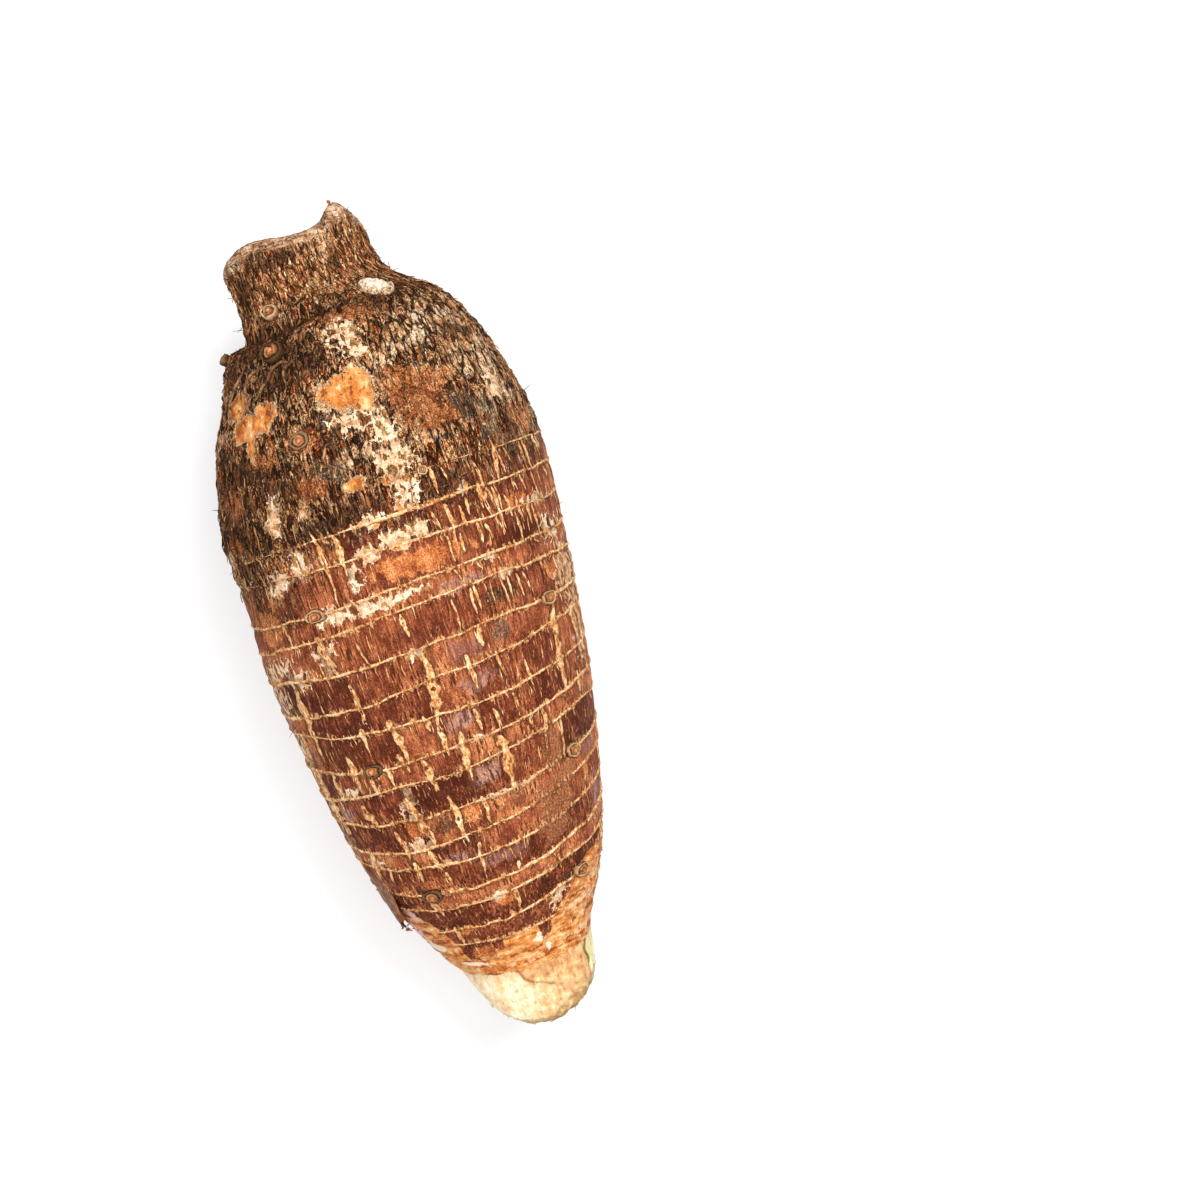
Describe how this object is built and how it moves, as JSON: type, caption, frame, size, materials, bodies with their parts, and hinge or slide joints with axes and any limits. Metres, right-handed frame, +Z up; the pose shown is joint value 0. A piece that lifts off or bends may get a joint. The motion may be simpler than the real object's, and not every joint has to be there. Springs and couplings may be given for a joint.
{
  "type": "taro root",
  "caption": "Whole taro corm lying on its side: ringed brown bark, side buds, a short broken neck at one end and a cut leaf stalk stub at the other.",
  "frame": {"origin": "on the table, under the middle of the bounding box", "axes": "+Y along the corm from the cut leaf stalks to the broken neck, +Z up from the table, +X across the corm"},
  "size_m": [0.1064, 0.2629, 0.0973],
  "materials": {
    "bark": "satin fibrous bark with pale cork cracks",
    "leaf_stalk": "moist cream leaf sheath, tan streaks"
  },
  "bodies": {
    "root": {"corm": "bark", "leaf_stalk_stub": "leaf_stalk"}
  },
  "joints": []
}
